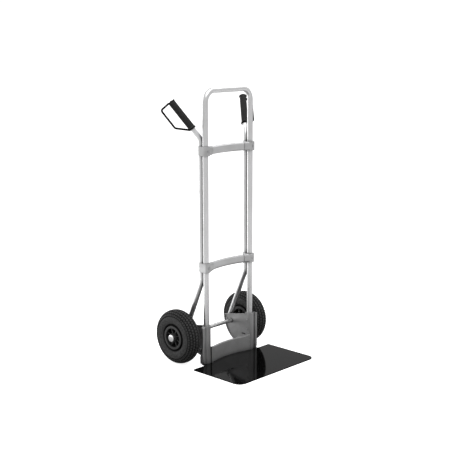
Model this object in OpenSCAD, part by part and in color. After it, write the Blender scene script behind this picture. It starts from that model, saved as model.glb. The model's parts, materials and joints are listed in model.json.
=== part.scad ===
// Hand truck: a looped tube frame with two rear handle tubes, a flat toe plate and two pneumatic wheels.
// X runs across the truck, -Y is the front where the load stands, and +Z is up.
// The origin is on the floor, under the middle of the truck.

/* [Frame] */
// Height of the top of the frame loop above the floor
frame_h = 1300; // [1250:10:1350]
// Distance between the centre lines of the two legs
leg_pitch = 300; // [294:2:310]
// Front edge of the toe plate to the centre line of the legs
plate_reach = 325; // [300:5:350]
// Centre line of the legs to the axle
axle_set = 108; // [107:0.5:109]
// Outer diameter of the looped front tube
frame_tube_d = 27; // [26:0.5:27]
// Outer diameter of the two rear handle tubes
handle_tube_d = 25; // [24:0.5:25]
// Wall of all the tubes
tube_wall = 2; // [1.5:0.1:2.5]
// Centre-line radius of the two corners of the loop
loop_bend = 55; // [45:5:80]

/* [Handles] */
// Height of the upper bend of the handle tubes
upper_bend_z = 1064; // [1055:1:1080]
// Height of the lower bend of the handle tubes
lower_bend_z = 400; // [398:1:402]
// Angle of the lower stretch of the handle tubes from the vertical
lower_lean = 23; // [22.5:0.25:23.5]
// Angle of the grips from the vertical
grip_lean = 38.3; // [30:0.1:45]
// Angle at which the grips turn outwards from straight back
grip_splay = 40.9; // [30:0.1:50]
// Upper bend to the lower end of the hand guard
grip_start = 62; // [55:1:75]
// Length of the grip with the ends of its hand guard
grip_len = 159; // [145:1:170]
// Diameter of the grip
grip_d = 32.6; // [30:0.2:35]
// Centre line of the grip to the bar of the hand guard
guard_reach = 74; // [65:1:85]

/* [Crossbars and clamps] */
// Height of the middle of the upper crossbar
upper_bar_z = 1013; // [980:1:1030]
// Height of the middle of the lower crossbar
lower_bar_z = 467; // [467:1:520]
// Height of a crossbar
bar_h = 39; // [32:1:41]
// Depth of a crossbar from front to back
bar_depth = 20; // [16:1:20]
// How far the middle of a crossbar bows back
bar_bow = 30; // [20:1:35]
// Height of a clamp
clamp_h = 43; // [43:1:46]

/* [Toe plate and panel] */
// Width of the toe plate
plate_w = 530; // [480:10:560]
// Thickness of the toe plate
plate_t = 4; // [3.5:0.5:5]
// Radius of the two front corners of the toe plate
plate_corner = 38; // [20:1:60]
// Height of the top edge of the back panel
panel_top = 76; // [70:1:80]
// How far the middle of the back panel bows back
panel_bow = 22.5; // [15:0.5:25]
// Thickness of the back panel
panel_t = 3; // [2:0.5:3]

/* [Wheels] */
// Diameter of the tyres
wheel_d = 260; // [256:1:262]
// Width of the tyres
tyre_w = 80; // [76:1:82]
// Distance between the middles of the two wheels
track = 464; // [462:1:476]
// Diameter of the axle
axle_d = 20; // [20:0.5:20]

/* [Hidden] */
$fn = 64;

// Sides of the truck
left = -1;
right = 1;

// Small gaps
fit = 0.05;      // round a part that sits in a bore
tube_gap = 0.5;  // between the front tube and the handle tube behind it
past = 1;        // how far a cut runs past a face
bend_swell = 0.05;  // a bend is this much thicker than the straight bars that end inside it
bend_lap = 0.5;     // how far a straight bar runs into a bend

// Main places
leg_x = leg_pitch / 2;
wheel_r = wheel_d / 2;
wheel_x = track / 2;
truck_depth = plate_reach + axle_set + wheel_r;
leg_y = plate_reach - truck_depth / 2;
axle_y = leg_y + axle_set;
axle_z = wheel_r;
plate_front = -truck_depth / 2;
frame_r = frame_tube_d / 2;
handle_r = handle_tube_d / 2;
handle_set = frame_r + handle_r + tube_gap;  // leg centre line to handle tube centre line
handle_y = leg_y + handle_set;

// Handle tube, on the right side
upper_bend = [leg_x, handle_y, upper_bend_z];
lower_bend = [leg_x, handle_y, lower_bend_z];
grip_dir = [sin(grip_lean) * sin(grip_splay), sin(grip_lean) * cos(grip_splay), cos(grip_lean)];
lower_dir = [0, sin(lower_lean), -cos(lower_lean)];
handle_bend = 60;    // centre-line radius of its two bends
tube_foot_z = 118;   // height of its lower end
socket_top_z = 152;  // height at which it enters the side bracket
grip_end = grip_start + grip_len;
lower_len = (lower_bend_z - tube_foot_z) / cos(lower_lean);
socket_len = (socket_top_z - tube_foot_z) / cos(lower_lean);
disc_t = 5;          // end disc of a hand guard
ring_t = 7;          // lower ring of a hand guard
handle_end = grip_end - disc_t - 4;
plug_len = 20;
groove_count = 9;    // grooves round the grip
groove_w = 2;
groove_depth = 0.6;

// Hand guard, in the plane of the grip and its outward direction
guard_out = unit([grip_dir.z, 0, -grip_dir.x]);
guard_bar_d = 8;
guard_bend = 12;
guard_end_r = 19;
guard_root = 16;     // centre line of the grip to both ends of the bar
guard_climb = 49;    // how far the lower arm of the bar runs up beside the grip

// Side bracket, measured outwards, backwards and up from the foot of a leg
cheek_in = 16.5;      // leg centre line to the inner face of the cheek
cheek_t = 4.5;
cheek_c = [27.5, 146];  // centre of the round rear edge of the cheek
cheek_r = 123.4;
cheek_top_front = 187.5;
cheek_top_slope = -0.195;
cheek_front = -11;
lip_t = 3.5;
lip_h = 5;
column_top = 187;
column_round = 12;    // top outer edge
heel_r = 162;         // bottom outer edge
heel_top = 45;
heel_rise = 15;       // from there to the centre of the heel's curve
socket_r = 20;
ridge_c = [31, -11.5];
ridge_r = 8;
web_back = -5;
leg_foot_z = 34;      // height of the lower ends of the front tube
foot_top = 40;
slot_at = [14, 74];   // lashing slot, back and up
slot_size = [20, 8];
boss_out = 8;         // outer end of the axle boss
boss_r = 17;
sleeve_r = 15.7;      // round the foot of the handle tube
sleeve_floor = 6;
screw_boss_r = 7;

// Clamps, measured outwards and backwards from a leg centre line
clamp_half_w = 17;
clamp_front = -18.5;
clamp_corner = 7.5;
clamp_back_r = 15.5;
clamp_back = handle_set + clamp_back_r;
clamp_reach = 40;     // inboard end of the clamp
clamp_sleeve_t = 2;   // wall of the clamp round the crossbar
bar_insert = 20;      // inboard distance of the crossbar's end from the leg

// Crossbar arc
bar_r = (leg_x * leg_x + bar_bow * bar_bow) / (2 * bar_bow);
bar_mid_y = leg_y + bar_bow - bar_depth / 2;
bar_wall = 2;

// Back panel arc
panel_half = leg_x - cheek_in;
panel_front_y = leg_y - socket_r + 0.5;
panel_r = (panel_half * panel_half + panel_bow * panel_bow) / (2 * panel_bow);
panel_c_y = panel_front_y + panel_bow - panel_r;
panel_lip = 12;
panel_foot = 15;
panel_screws_at = [[leg_y + 52.5, 54], [leg_y + 64, 42]];  // back and up
panel_return = 17;
tab_round = 8;
flare_w = 34;         // the top edge rises over this width at each end
flare_h = 9;
panel_bolt_x = 60;
panel_bolt_mid = panel_r + (panel_foot + panel_t) / 2;
panel_bolt_y = panel_c_y + sqrt(panel_bolt_mid * panel_bolt_mid - panel_bolt_x * panel_bolt_x);
low_head_h = 2.5;

// Toe plate
plate_back = leg_y - 25;
plate_back_corner = 6;
plate_bolts = [[0, 0], [23, 0]];  // outwards and backwards from a leg
plate_bolt_len = 18;              // above the plate

// Fasteners: radii of shank and head
m6_r = 3;
m6_head_r = 5;
m6_head_h = 3;
m8_r = 4;
m8_head_r = 7.8;
nut_h = 5;
clearance = 0.2;      // round a shank that passes through
socket_depth = 1.8;
leg_screw_zs = [106, 156];
leg_screw_end = 17;   // past the leg centre line
handle_screw_z = 135;

// Wheel, measured outwards from the middle of the wheel
axle_r = axle_d / 2;
section_r = tyre_w / 2;
section_c = wheel_r - section_r;
tyre_t = 5.5;
bead_r = 50.5;
bead_t = 14;
bead_h = 8;
tube_t = 1.6;
rim_in_r = 46;
rim_lip_r = 55;
rim_lip_t = 3.5;
rim_out = 37;
bead_out = rim_out - rim_lip_t - fit;
web_t = 4;
hub_half = 38.5;
hub_sleeve_r = 16;
hub_barrel_r = 20.5;
roller_r = 2;
roller_len = 22;
roller_count = 10;
roller_orbit = axle_r + roller_r + 0.08;
hub_bore_r = roller_orbit + roller_r + 0.07;
cage_len = 26;
cage_end = 37;
rib_count = 8;
rib_t = 4;
rib_out = 28;
rim_bolt_orbit = 33;
rim_boss_out = 10;
rim_boss_r = 6.5;
valve_out = 13;
valve_r = 2.6;
valve_base_r = 4;
valve_tip = 30;
valve_cap_r = 3.6;

// Axle stack, measured from the middle of the truck
washer_t = 2;
washer_r = 17;
end_play = 0.5;
hub_in_x = wheel_x - hub_half;
hub_out_x = wheel_x + hub_half;
spacer_r = 14;
hub_cap_x = hub_out_x + end_play + washer_t;
hub_cap_r = 17.5;
hub_cap_h = 8;
hub_cap_round = 3;
axle_end = hub_cap_x + 5;

function unit(v) = v / norm(v);

// How far the straight bars of the path p stop short of its corner i, bent to radius r
function trim(p, r, i) = (i == 0 || i == len(p) - 1) ? 0
    : r * tan(acos(unit(p[i] - p[i - 1]) * unit(p[i + 1] - p[i])) / 2) - bend_lap;

// Point beside the right grip: along it from the upper bend, and out towards the guard
function by_grip(along, out) = upper_bend + along * grip_dir + out * guard_out;

module on_side(side) {
    if (side == left) mirror([1, 0, 0]) children();
    else children();
}

// Turns children so that their Z axis points along v, and moves them to p
module along(p, v) {
    translate(p) rotate([0, acos(v.z / norm(v)), atan2(v.y, v.x)]) children();
}

// Round bar from a to b
module bar(a, b, r) {
    along(a, b - a) cylinder(h = norm(b - a), r = r);
}

// Rounded corner at p of a round bar, from direction u to direction v
module corner(p, u, v, bend, r) {
    turn = acos(u * v);
    inward = unit(v - (u * v) * u);
    side = cross(-inward, u);
    c = p - bend * tan(turn / 2) * u + bend * inward;
    multmatrix([
        [-inward.x, u.x, side.x, c.x],
        [-inward.y, u.y, side.y, c.y],
        [-inward.z, u.z, side.z, c.z],
        [0, 0, 0, 1],
    ]) rotate_extrude(angle = turn) translate([bend, 0]) circle(r = r);
}

// Round bar along the path p, with its corners bent to one centre-line radius
module bar_path(p, bend, r) {
    for (i = [0 : len(p) - 2]) {
        u = unit(p[i + 1] - p[i]);
        bar(p[i] + trim(p, bend, i) * u, p[i + 1] - trim(p, bend, i + 1) * u, r);
    }
    for (i = [1 : len(p) - 2])
        corner(p[i], unit(p[i] - p[i - 1]), unit(p[i + 1] - p[i]), bend, r + bend_swell);
}

// Bar along X, along Y, and a disc section turned about the X axis
module x_bar(x, y, z, h, r) { translate([x, y, z]) rotate([0, 90, 0]) cylinder(h = h, r = r); }
module y_bar(x, y, z, h, r) { translate([x, y, z]) rotate([-90, 0, 0]) cylinder(h = h, r = r); }

// Screw head with a hexagon socket, on its face at z = 0
module socket_head(r, h) {
    difference() {
        cylinder(h = h, r = r);
        translate([0, 0, h - socket_depth]) cylinder(h = socket_depth + past, r = r / 2, $fn = 6);
    }
}

// Hexagon nut with its bore, on its face at z = 0
module hex_nut(r, h = nut_h) {
    difference() {
        cylinder(h = h, r = r * 1.9, $fn = 6);
        translate([0, 0, -past]) cylinder(h = h + 2 * past, r = r + fit);
    }
}

// ---- Front tube -------------------------------------------------------------

module leg_holes() {
    for (s = [left, right]) on_side(s) {
        for (z = [upper_bar_z, lower_bar_z])
            y_bar(leg_x, leg_y - frame_r - past, z, frame_tube_d + 2 * past, m6_r + clearance);
        for (z = leg_screw_zs)
            x_bar(leg_x - frame_r - past, leg_y, z, frame_tube_d + 2 * past, m6_r + clearance);
    }
}

module loop_path(foot, r) {
    top = frame_h - frame_r;
    bar_path([[-leg_x, leg_y, foot], [-leg_x, leg_y, top], [leg_x, leg_y, top], [leg_x, leg_y, foot]],
        loop_bend, r);
}

module front_frame_tube() {
    color("silver") difference() {
        loop_path(leg_foot_z, frame_r);
        loop_path(leg_foot_z - past, frame_r - tube_wall);
        leg_holes();
    }
}

// ---- Handle tubes -----------------------------------------------------------

module handle_path(extra, r) {
    bar_path([lower_bend + (lower_len + extra) * lower_dir, lower_bend, upper_bend,
        by_grip(handle_end + extra, 0)], handle_bend, r);
}

module handle_tube(side) {
    color("silver") on_side(side) difference() {
        handle_path(0, handle_r);
        handle_path(past, handle_r - tube_wall);
        for (z = [upper_bar_z, lower_bar_z])
            y_bar(leg_x, handle_y - handle_r - past, z, handle_tube_d + 2 * past, m6_r + clearance);
        handle_screw_hole(clearance);
    }
}

// Where the screw through the foot of the handle tube passes
handle_screw_y = handle_y + (lower_bend_z - handle_screw_z) * tan(lower_lean);

module handle_screw_hole(gap) {
    x_bar(leg_x - cheek_in - past, handle_screw_y, handle_screw_z, 3 * cheek_in, m6_r + gap);
}

module handle_tube_plugs() {
    color("dimgray") for (s = [left, right]) on_side(s)
        along(by_grip(handle_end - plug_len, 0), grip_dir) difference() {
            cylinder(h = plug_len, r = handle_r - tube_wall - fit);
            translate([0, 0, -past]) cylinder(h = plug_len + 2 * past, r = m6_r + fit);
        }
}

// ---- Grips and hand guards --------------------------------------------------

grip_body = grip_len - disc_t - ring_t;

module grip(side) {
    color([0.2, 0.2, 0.2]) on_side(side) along(by_grip(grip_start + ring_t, 0), grip_dir) difference() {
        cylinder(h = grip_body, r = grip_d / 2);
        translate([0, 0, -past]) cylinder(h = grip_body + 2 * past, r = handle_r + fit);
        for (i = [1 : groove_count])
            translate([0, 0, i * grip_body / (groove_count + 1) - groove_w / 2]) difference() {
                cylinder(h = groove_w, r = grip_d);
                cylinder(h = groove_w, r = grip_d / 2 - groove_depth);
            }
    }
}

module hand_guard(side) {
    disc = grip_end - disc_t;
    ring = grip_start + ring_t / 2;
    color([0.06, 0.06, 0.06]) on_side(side) difference() {
        union() {
            along(by_grip(disc, 0), grip_dir) cylinder(h = disc_t, r = guard_end_r);
            along(by_grip(grip_start, 0), grip_dir) cylinder(h = ring_t, r = guard_end_r);
            bar_path([by_grip(ring, guard_root), by_grip(ring + guard_climb, guard_reach),
                by_grip(disc, guard_reach), by_grip(disc + disc_t / 2, guard_root)],
                guard_bend, guard_bar_d / 2);
        }
        along(by_grip(grip_start + ring_t - fit, 0), grip_dir)
            cylinder(h = grip_body + 2 * fit, r = grip_d / 2 + fit);
        along(by_grip(grip_start - past, 0), grip_dir) cylinder(h = ring_t + 2 * past, r = handle_r + fit);
        along(by_grip(disc - past, 0), grip_dir) cylinder(h = disc_t + 2 * past, r = m6_r + clearance);
    }
}

module guard_screws() {
    color("dimgray") for (s = [left, right]) on_side(s) {
        along(by_grip(grip_end, 0), grip_dir) socket_head(m6_head_r, m6_head_h);
        bar(by_grip(handle_end - plug_len + 4, 0), by_grip(grip_end + m6_head_h / 4, 0), m6_r);
    }
}

// ---- Crossbars and clamps ---------------------------------------------------

// Flat-oval outline, upright
module oval(w, h) {
    for (z = [-1, 1]) translate([0, z * (h - w) / 2]) circle(r = w / 2);
    square([w, h - w], center = true);
}

// Sweeps an upright outline along the crossbar's arc, from x0 to x1
module along_bar_arc(z, x0, x1) {
    a0 = acos(x0 / bar_r);
    a1 = acos(x1 / bar_r);
    translate([0, bar_mid_y - bar_r, z]) rotate([0, 0, a1]) rotate_extrude(angle = a0 - a1, $fn = 180)
        translate([bar_r, 0]) children();
}

module crossbar(z) {
    reach = leg_x - bar_insert;
    color([0.72, 0.73, 0.74]) difference() {
        along_bar_arc(z, -reach, reach) oval(bar_depth, bar_h);
        along_bar_arc(z, -reach - past, reach + past) oval(bar_depth - 2 * bar_wall, bar_h - 2 * bar_wall);
    }
}

// Plan of the collar round the front tube and the handle tube
module collar_plan() {
    flat = clamp_half_w - clamp_corner;
    for (s = [-1, 1]) translate([s * flat, clamp_front + clamp_corner]) circle(r = clamp_corner);
    translate([-flat, clamp_front]) square([2 * flat, clamp_corner]);
    polygon([
        [-clamp_half_w, clamp_front + clamp_corner], [clamp_half_w, clamp_front + clamp_corner],
        [clamp_half_w, 0], [clamp_back_r, handle_set], [-clamp_back_r, handle_set], [-clamp_half_w, 0],
    ]);
    translate([0, handle_set]) circle(r = clamp_back_r);
}

module clamp(z, side) {
    sleeve_w = bar_depth + 2 * clamp_sleeve_t;
    color([0.62, 0.63, 0.64]) on_side(side) difference() {
        union() {
            translate([leg_x, leg_y, z - clamp_h / 2]) linear_extrude(clamp_h) collar_plan();
            along_bar_arc(z, leg_x - clamp_reach, leg_x - 2) oval(sleeve_w, clamp_h);
        }
        along_bar_arc(z, leg_x - clamp_reach - past, leg_x - bar_insert + past)
            oval(bar_depth + 2 * fit, bar_h + 2 * fit);
        translate([leg_x, 0, z - clamp_h / 2 - past]) {
            translate([0, leg_y]) cylinder(h = clamp_h + 2 * past, r = frame_r + fit);
            translate([0, handle_y]) cylinder(h = clamp_h + 2 * past, r = handle_r + fit);
            translate([-handle_r / 2, leg_y + frame_r / 2])
                cube([handle_r, handle_set - frame_r / 2, clamp_h + 2 * past]);
        }
        y_bar(leg_x, leg_y + clamp_front - past, z, clamp_back - clamp_front + 2 * past, m6_r + clearance);
    }
}

module each_clamp_screw() {
    for (s = [left, right]) on_side(s) for (z = [upper_bar_z, lower_bar_z]) translate([leg_x, leg_y, z])
        children();
}

module clamp_screws() {
    color("dimgray") each_clamp_screw() {
        translate([0, clamp_front, 0]) rotate([90, 0, 0]) socket_head(m6_head_r, m6_head_h);
        y_bar(0, clamp_front, 0, clamp_back - clamp_front + nut_h + 1, m6_r);
    }
}

module clamp_nuts() {
    color("silver") each_clamp_screw() translate([0, clamp_back, 0]) rotate([-90, 0, 0]) hex_nut(m6_r);
}

// ---- Side brackets ----------------------------------------------------------

// Plan of the column: a socket round the leg, a web and a round outer ridge
module column_plan() {
    difference() {
        union() {
            circle(r = socket_r);
            translate([0, cheek_front]) square([ridge_c.x, web_back - cheek_front]);
            translate(ridge_c) circle(r = ridge_r);
        }
        translate([-2 * socket_r - cheek_in, -2 * socket_r]) square([2 * socket_r, 4 * socket_r]);
    }
}

ridge_out = ridge_c.x + ridge_r;

module column() {
    difference() {
        translate([0, 0, plate_t]) linear_extrude(column_top - plate_t) column_plan();
        translate([ridge_out - column_round, 2 * socket_r, column_top - column_round]) rotate([90, 0, 0])
            linear_extrude(4 * socket_r) difference() {
                square(column_round + past);
                circle(r = column_round);
            }
    }
}

module foot() {
    translate([0, 0, plate_t]) linear_extrude(foot_top - plate_t) polygon([
        [-cheek_in, web_back], [ridge_out - 1, web_back], [ridge_out - 1, 5], [socket_r, socket_r],
        [-cheek_in, socket_r],
    ]);
}

// Outer edge of the column and the foot, curved in towards the floor
module heel_cut() {
    centre = [ridge_out - sqrt(heel_r * heel_r - heel_rise * heel_rise), heel_top + heel_rise];
    translate([centre.x, 2 * socket_r, centre.y]) rotate([90, 0, 0])
        linear_extrude(4 * socket_r) difference() {
            translate([heel_r / 2, -centre.y]) square([heel_r, centre.y]);
            circle(r = heel_r, $fn = 360);
        }
}

// Outline of the cheek, drawn back and up, shrunk by inset
module cheek_outline(inset) {
    far = cheek_c.x + cheek_r + past;
    intersection() {
        translate(cheek_c) circle(r = cheek_r - inset);
        polygon([
            [cheek_front, plate_t], [far, plate_t],
            [far, cheek_top_front + cheek_top_slope * (far - cheek_front) - inset],
            [cheek_front, cheek_top_front - inset],
        ]);
    }
}

module side_plate(x, t) {
    translate([x, 0, 0]) rotate([90, 0, 90]) linear_extrude(t) children();
}

module cheek() {
    side_plate(-cheek_in, cheek_t) cheek_outline(0);
    side_plate(-cheek_in - lip_h, lip_h + 1) difference() {
        cheek_outline(0);
        cheek_outline(lip_t);
        translate([cheek_front - past, 0]) square([socket_r, column_top + past]);
    }
}

// Lashing slot through the cheek, above the back panel
module slot() {
    side_plate(-cheek_in - past, cheek_t + 4) {
        translate(slot_at) square(slot_size);
        for (y = [0, slot_size.x]) translate(slot_at + [y, slot_size.y / 2]) circle(r = slot_size.y / 2);
    }
}

module side_bracket(side) {
    socket = lower_bend + (lower_len - socket_len) * lower_dir;
    tube_end = lower_bend + lower_len * lower_dir;
    color([0.55, 0.56, 0.57]) on_side(side) difference() {
        union() {
            translate([leg_x, leg_y, 0]) {
                difference() {
                    union() {
                        column();
                        foot();
                    }
                    heel_cut();
                }
                cheek();
            }
            x_bar(leg_x - cheek_in, axle_y, axle_z, cheek_in + boss_out, boss_r);
            bar(socket, tube_end + sleeve_floor * lower_dir, sleeve_r);
            x_bar(leg_x - cheek_in, handle_screw_y, handle_screw_z, cheek_in + sleeve_r + 1, screw_boss_r);
        }
        bar(socket - socket_len * lower_dir, tube_end, handle_r + fit);
        handle_screw_hole(clearance);
        x_bar(0, axle_y, axle_z, 2 * leg_x, axle_r + fit);
        x_bar(leg_x - cheek_in - past, axle_y, axle_z, 1.5 + past, axle_r + 2.5);
        translate([leg_x, leg_y, 0]) {
            translate([0, 0, leg_foot_z]) cylinder(h = column_top, r = frame_r + fit);
            slot();
            for (z = leg_screw_zs)
                x_bar(-cheek_in - past, 0, z, cheek_in + leg_screw_end + 2 * past, m6_r + fit);
            for (p = panel_screws_at)
                x_bar(-cheek_in - past, p.x - leg_y, p.y, cheek_t + 2 * past, m6_r + clearance);
            for (p = plate_bolts) translate([p.x, p.y, plate_t - past])
                cylinder(h = plate_bolt_len + 2 * past, r = m8_r + fit);
        }
    }
}

module leg_screws() {
    color("dimgray") for (s = [left, right]) on_side(s) for (z = leg_screw_zs)
        translate([leg_x - cheek_in, leg_y, z]) {
            rotate([0, -90, 0]) socket_head(m6_head_r, m6_head_h);
            rotate([0, 90, 0]) cylinder(h = cheek_in + leg_screw_end, r = m6_r);
        }
}

module handle_tube_screws() {
    color("dimgray") for (s = [left, right]) on_side(s)
        translate([leg_x - cheek_in, handle_screw_y, handle_screw_z]) {
            rotate([0, -90, 0]) socket_head(m6_head_r, m6_head_h);
            rotate([0, 90, 0]) cylinder(h = cheek_in + sleeve_r + nut_h + 2, r = m6_r);
        }
}

module handle_tube_nuts() {
    color("silver") for (s = [left, right]) on_side(s)
        translate([leg_x + sleeve_r + 1, handle_screw_y, handle_screw_z]) rotate([0, 90, 0]) hex_nut(m6_r);
}

// ---- Back panel -------------------------------------------------------------

// Sweeps an upright outline (out from the front face, up) along the panel's arc
module along_panel_arc() {
    half = asin((panel_half - panel_t / 2) / panel_r);
    translate([0, panel_c_y, 0]) rotate([0, 0, 90 - half]) rotate_extrude(angle = 2 * half, $fn = 180)
        translate([panel_r, 0]) children();
}

// End of the panel: turned back along the whole height, with an ear that is screwed to the cheek
module panel_ear() {
    low = panel_screws_at[1];
    high = panel_screws_at[0];
    side_plate(panel_half - panel_t, panel_t) {
        for (p = panel_screws_at) translate(p) circle(r = tab_round);
        polygon([
            [panel_front_y, low.y - tab_round], [low.x, low.y - tab_round],
            [low.x + tab_round, low.y], high + [0.8, 0.6] * tab_round, [high.x, high.y + tab_round],
            [panel_front_y, high.y + tab_round],
        ]);
        translate([panel_front_y, plate_t])
            square([panel_return, panel_top + flare_h - panel_t - plate_t]);
    }
}

// The part of the panel that rises above its top edge at each end
module panel_flare() {
    intersection() {
        along_panel_arc() translate([0, panel_top - panel_t]) square([panel_t, panel_t + flare_h]);
        for (s = [left, right]) on_side(s)
            translate([0, truck_depth, 0]) rotate([90, 0, 0]) linear_extrude(2 * truck_depth) polygon([
                [panel_half - flare_w, panel_top - panel_t], [panel_half, panel_top - panel_t],
                [panel_half, panel_top + flare_h], [panel_half - flare_w / 2, panel_top + flare_h / 4],
                [panel_half - flare_w, panel_top],
            ]);
    }
}

module back_panel() {
    color([0.42, 0.43, 0.44]) difference() {
        union() {
            along_panel_arc() {
                translate([0, plate_t]) square([panel_t, panel_top - plate_t]);
                translate([0, panel_top - panel_t]) square([panel_lip, panel_t]);
                translate([0, plate_t]) square([panel_foot, panel_t]);
            }
            panel_flare();
            for (s = [left, right]) on_side(s) panel_ear();
        }
        for (s = [left, right]) on_side(s) {
            translate([panel_half, -truck_depth, 0]) cube([20, 2 * truck_depth, 2 * panel_top]);
            for (p = panel_screws_at)
                x_bar(panel_half - 2 * panel_t, p.x, p.y, 4 * panel_t, m6_r + clearance);
            panel_bolt(-past, panel_top / 2, m8_r + clearance);
        }
    }
}

// Bar up through the foot of the panel
module panel_bolt(z, h, r) {
    translate([panel_bolt_x, panel_bolt_y, z]) cylinder(h = h, r = r);
}

module each_panel_screw() {
    for (s = [left, right]) on_side(s) for (p = panel_screws_at)
        translate([panel_half, p.x, p.y]) children();
}

module panel_screws() {
    color("dimgray") each_panel_screw() {
        translate([-panel_t, 0, 0]) rotate([0, -90, 0]) socket_head(m6_head_r, m6_head_h);
        x_bar(-panel_t, 0, 0, panel_t + cheek_t + nut_h + 1, m6_r);
    }
}

module panel_nuts() {
    color("silver") each_panel_screw() translate([cheek_t, 0, 0]) rotate([0, 90, 0]) hex_nut(m6_r);
}

// ---- Toe plate --------------------------------------------------------------

module plate_plan() {
    half = plate_w / 2;
    tongue_y = leg_y + 18.5;
    for (s = [-1, 1]) {
        translate([s * (half - plate_corner), plate_front + plate_corner]) circle(r = plate_corner);
        translate([s * (half - plate_back_corner), plate_back - plate_back_corner])
            circle(r = plate_back_corner);
    }
    translate([-half + plate_corner, plate_front]) square([plate_w - 2 * plate_corner, plate_corner]);
    translate([-half, plate_front + plate_corner])
        square([plate_w, plate_back - plate_back_corner - plate_front - plate_corner]);
    polygon([
        [-half + plate_back_corner, plate_back - plate_back_corner],
        [half - plate_back_corner, plate_back - plate_back_corner],
        [half - plate_back_corner, plate_back], [leg_x + 36, plate_back], [leg_x + 30, leg_y + 1.5],
        [leg_x + 10, tongue_y], [-leg_x - 10, tongue_y], [-leg_x - 30, leg_y + 1.5],
        [-leg_x - 36, plate_back], [-half + plate_back_corner, plate_back],
    ]);
}

module countersink(gap) {
    cylinder(h = plate_t, r1 = m8_head_r + gap, r2 = m8_r + gap);
}

module toe_plate() {
    color([0.05, 0.05, 0.05]) difference() {
        linear_extrude(plate_t) plate_plan();
        for (s = [left, right]) on_side(s) {
            for (p = plate_bolts) translate([leg_x + p.x, leg_y + p.y, 0]) countersink(clearance);
            panel_bolt(-past, 3 * plate_t, m8_r + clearance);
            panel_bolt(0, low_head_h, m8_head_r + clearance);
        }
    }
}

module toe_plate_bolts() {
    floor_gap = 0.3;
    color("dimgray") for (s = [left, right]) on_side(s) {
        for (p = plate_bolts) translate([leg_x + p.x, leg_y + p.y, 0]) {
            intersection() {
                countersink(0);
                translate([0, 0, floor_gap]) cylinder(h = plate_t, r = m8_head_r);
            }
            translate([0, 0, plate_t]) cylinder(h = plate_bolt_len, r = m8_r);
        }
        panel_bolt(floor_gap, low_head_h - floor_gap, m8_head_r);
        panel_bolt(low_head_h, plate_t + panel_t + nut_h, m8_r);
    }
}

module toe_plate_nuts() {
    color("silver") for (s = [left, right]) on_side(s)
        translate([panel_bolt_x, panel_bolt_y, plate_t + panel_t]) low_nut();
}

// Low nut, narrow enough for the foot of the panel
module low_nut() {
    difference() {
        cylinder(h = nut_h, r = 6, $fn = 6);
        translate([0, 0, -past]) cylinder(h = nut_h + 2 * past, r = m8_r + fit);
    }
}

// ---- Axle -------------------------------------------------------------------

module ring(x, h, outer, inner) {
    translate([x, axle_y, axle_z]) rotate([0, 90, 0]) difference() {
        cylinder(h = h, r = outer);
        translate([0, 0, -past]) cylinder(h = h + 2 * past, r = inner);
    }
}

module axle() {
    color([0.85, 0.85, 0.86]) x_bar(-axle_end, axle_y, axle_z, 2 * axle_end, axle_r);
}

module wheel_spacers() {
    from = leg_x + boss_out;
    to = hub_in_x - end_play - washer_t;
    color([0.7, 0.7, 0.7]) for (s = [left, right]) on_side(s) ring(from, to - from, spacer_r, axle_r + fit);
}

module axle_washers() {
    color([0.8, 0.8, 0.8]) for (s = [left, right]) on_side(s)
        for (x = [hub_in_x - end_play - washer_t, hub_out_x + end_play])
            ring(x, washer_t, washer_r, axle_r + fit);
}

module hub_cap(side) {
    color([0.9, 0.9, 0.9]) on_side(side) translate([hub_cap_x, axle_y, axle_z]) rotate([0, 90, 0])
        difference() {
            rotate_extrude() {
                square([hub_cap_r - hub_cap_round, hub_cap_h]);
                square([hub_cap_r, hub_cap_h - hub_cap_round]);
                translate([hub_cap_r - hub_cap_round, hub_cap_h - hub_cap_round]) intersection() {
                    circle(r = hub_cap_round);
                    square(hub_cap_round);
                }
            }
            translate([0, 0, -past]) cylinder(h = axle_end - hub_cap_x + past + fit, r = axle_r + fit);
        }
}

// ---- Wheels -----------------------------------------------------------------

// Places children at a wheel's middle, with Z pointing out from the truck and X pointing down
module at_wheel(side) {
    on_side(side) translate([wheel_x, axle_y, axle_z]) rotate([0, 90, 0]) children();
}

// Repeats children round the wheel
module around(count, start = 0) {
    for (i = [0 : count - 1]) rotate([0, 0, start + i * 360 / count]) children();
}

module tyre(side) {
    color([0.13, 0.13, 0.13]) at_wheel(side) rotate_extrude() difference() {
        union() {
            translate([section_c, 0]) circle(r = section_r);
            translate([bead_r, -bead_out]) square([bead_h, 2 * bead_out]);
        }
        translate([section_c, 0]) circle(r = section_r - tyre_t);
        translate([bead_r - past, bead_t - bead_out])
            square([bead_h + past, 2 * (bead_out - bead_t)]);
    }
}

module inner_tube(side) {
    outer = section_r - tyre_t - 0.4;
    color([0.2, 0.2, 0.2]) at_wheel(side) rotate_extrude() translate([section_c, 0]) difference() {
        circle(r = outer);
        circle(r = outer - tube_t);
    }
}

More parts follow.
